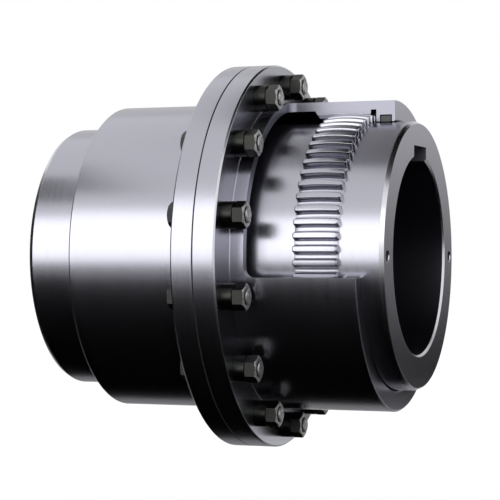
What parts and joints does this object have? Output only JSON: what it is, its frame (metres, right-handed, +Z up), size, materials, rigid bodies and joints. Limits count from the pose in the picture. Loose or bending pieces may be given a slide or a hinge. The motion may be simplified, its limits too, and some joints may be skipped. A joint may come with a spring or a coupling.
{
  "type": "gear coupling",
  "caption": "Flanged double gear coupling for two keyed shafts, with crowned hub teeth, bolted sleeves and a window cut in one sleeve.",
  "frame": {"origin": "centre of the right hub's bore at its inner end, where the right shaft ends", "axes": "+X along the shafts' axis towards the right shaft, +Z up through the right hub's keyway, the window faces -Y"},
  "size_m": [0.3535, 0.3748, 0.375],
  "materials": {
    "polished_steel": "finely turned and polished",
    "black_oxide_steel": "black oxide, lightly oiled",
    "seal_rubber": "matt moulded rubber",
    "gasket_fibre": "compressed fibre sheet",
    "washer_aluminium": "stamped, soft"
  },
  "bodies": {
    "right_hub": {"right_hub": "polished_steel"},
    "sleeves": {"right_sleeve": "polished_steel", "left_sleeve": "polished_steel", "flange_gasket": "gasket_fibre", "right_shaft_seal": "seal_rubber", "left_shaft_seal": "seal_rubber", "flange_bolts": "black_oxide_steel", "nut_collars": "black_oxide_steel", "flange_nuts": "black_oxide_steel", "left_fill_plug": "black_oxide_steel", "left_vent_plug": "black_oxide_steel", "right_fill_plug": "black_oxide_steel", "right_vent_plug": "black_oxide_steel", "left_fill_plug_washer": "washer_aluminium", "left_vent_plug_washer": "washer_aluminium", "right_fill_plug_washer": "washer_aluminium", "right_vent_plug_washer": "washer_aluminium"},
    "left_hub": {"left_hub": "polished_steel"}
  },
  "joints": [
    {"name": "right_tilt", "type": "hinge", "parent": "right_hub", "child": "sleeves", "pos_m": [0.09525, 0, 0], "axis": [0, 0, 1], "range_deg": [-0.75, 0.75]},
    {"name": "left_tilt", "type": "hinge", "parent": "sleeves", "child": "left_hub", "pos_m": [-0.10125, 0, 0], "axis": [0, 0, 1], "range_deg": [-0.75, 0.75]}
  ]
}
